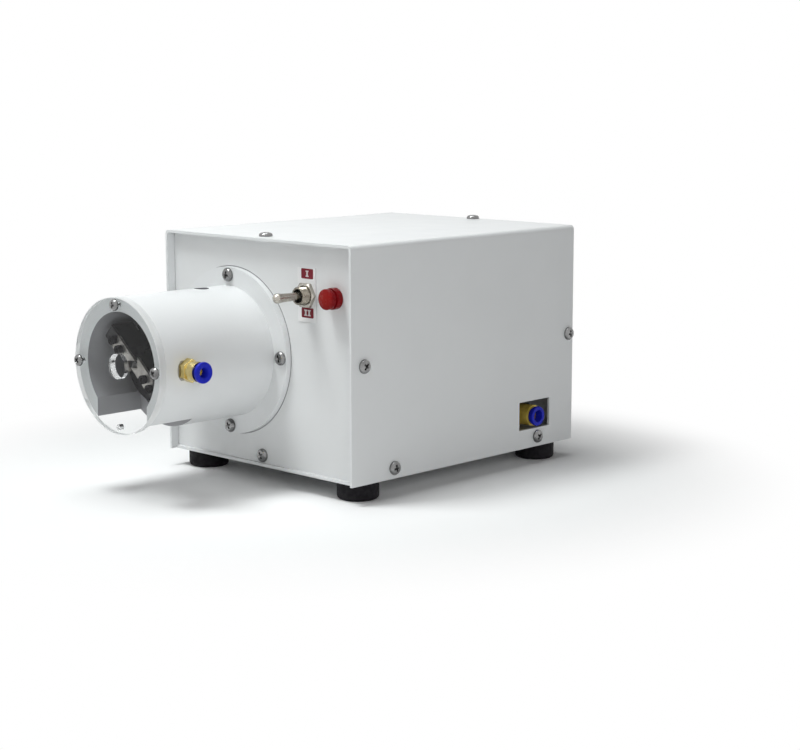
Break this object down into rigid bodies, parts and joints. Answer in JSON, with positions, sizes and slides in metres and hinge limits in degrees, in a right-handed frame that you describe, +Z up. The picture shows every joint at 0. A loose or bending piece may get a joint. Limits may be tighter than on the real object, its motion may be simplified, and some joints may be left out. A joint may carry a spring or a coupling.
{
  "type": "wire stripping and twisting machine",
  "caption": "Bench machine with a box body and a round front head: spinning blades behind a clear guard strip a wire end and twist its strands.",
  "frame": {"origin": "on the floor under the middle of the overall box", "axes": "+Z up, front with the clear guard towards -Y, supply port on +X"},
  "size_m": [0.1832, 0.3213, 0.1646],
  "materials": {
    "white_paint": "satin",
    "nickel": "bright nickel plate",
    "steel": "ground",
    "blade_steel": "polished",
    "black_oxide": "black oxide",
    "aluminium": "milled",
    "brass": "nickel-free turned",
    "blue_plastic": "moulded",
    "clear_plastic": "clear acrylic",
    "red_plastic": "translucent",
    "black_plastic": "moulded",
    "black_rubber": "moulded",
    "black_enamel": "enamel"
  },
  "bodies": {
    "frame": {"cover": "white_paint", "cover_screws": "nickel", "bottom_pan": "white_paint", "base_plate": "aluminium", "front_plate": "white_paint", "rear_plate": "white_paint", "panel_screws": "nickel", "rubber_feet": "black_rubber", "foot_screws": "nickel", "head_housing": "white_paint", "guard_disc": "clear_plastic", "guard_screws": "nickel", "blow_fitting": "brass", "legend_plate": "aluminium", "switch_case": "black_plastic", "switch_bushing": "nickel", "switch_nut": "nickel", "lamp_body": "black_plastic", "lamp_lens": "red_plastic", "bearing_outer_rings": "steel", "bearing_block": "aluminium", "air_cylinder": "aluminium", "cylinder_spring": "steel", "guide_pin": "steel", "motor_bracket": "aluminium", "motor_housing": "black_enamel", "motor_stator": "steel", "motor_screws": "nickel", "drive_belt": "black_rubber", "stand_screws": "black_oxide", "air_manifold": "aluminium", "inlet_fitting": "brass", "tube_fittings": "brass", "air_tube": "blue_plastic", "cable_gland": "black_plastic", "gland_nut": "black_plastic"},
    "spindle": {"spindle": "steel", "spindle_pulley": "black_oxide", "bearing_inner_rings": "steel", "spindle_nut": "black_oxide", "rotor": "black_oxide", "rotor_screws": "steel", "pivot_pins": "steel", "return_ring": "black_rubber"},
    "arm_a": {"blade_arm_a": "steel", "blade_a": "blade_steel", "blade_screws_a": "black_oxide"},
    "arm_b": {"blade_arm_b": "steel", "blade_b": "blade_steel", "blade_screws_b": "black_oxide"},
    "push": {"push_tube": "steel", "shift_collar": "steel"},
    "shift": {"shift_fork": "aluminium", "piston_rod": "steel", "rod_nut": "nickel"},
    "motor_rotor": {"motor_shaft": "steel", "motor_pulley": "black_oxide"},
    "toggle": {"toggle_lever": "nickel"},
    "blow_release": {"blow_collar": "blue_plastic"},
    "inlet_release": {"inlet_collar": "blue_plastic"}
  },
  "joints": [
    {"name": "spindle_spin", "type": "hinge", "parent": "frame", "child": "spindle", "pos_m": [-0.027, 0, 0.086], "axis": [0, 1, 0], "continuous": true},
    {"name": "arm_a_swing", "type": "hinge", "parent": "spindle", "child": "arm_a", "pos_m": [-0.01362, -0.1163, 0.07396], "axis": [-0.6691, 0, -0.7431], "range_deg": [0, 6.67]},
    {"name": "arm_b_swing", "type": "hinge", "parent": "spindle", "child": "arm_b", "pos_m": [-0.04038, -0.1163, 0.09804], "axis": [0.6691, 0, 0.7431], "range_deg": [0, 6.67]},
    {"name": "push_slide", "type": "slide", "parent": "spindle", "child": "push", "axis": [0, -1, 0], "range_m": [0, 0.008]},
    {"name": "shift_slide", "type": "slide", "parent": "frame", "child": "shift", "axis": [0, -1, 0], "range_m": [0, 0.008], "stiffness_N_per_m": 600, "deforming": ["cylinder_spring", "return_ring"]},
    {"name": "motor_spin", "type": "hinge", "parent": "frame", "child": "motor_rotor", "pos_m": [0.0461, 0, 0.066], "axis": [0, 1, 0], "continuous": true},
    {"name": "toggle_tilt", "type": "hinge", "parent": "frame", "child": "toggle", "pos_m": [0.044, -0.0675, 0.128], "axis": [1, 0, 0], "range_deg": [-13, 13]},
    {"name": "blow_press", "type": "slide", "parent": "frame", "child": "blow_release", "axis": [-1, 0, 0], "range_m": [0, 0.0015], "stiffness_N_per_m": 300},
    {"name": "inlet_press", "type": "slide", "parent": "frame", "child": "inlet_release", "axis": [-1, 0, 0], "range_m": [0, 0.0015], "stiffness_N_per_m": 300}
  ],
  "couplings": [
    {"joint": "motor_spin", "follows": "spindle_spin", "ratio": 2},
    {"joint": "push_slide", "follows": "shift_slide", "ratio": 1},
    {"joint": "arm_a_swing", "follows": "shift_slide", "rad_per_m": 14.54},
    {"joint": "arm_b_swing", "follows": "shift_slide", "rad_per_m": 14.54}
  ]
}
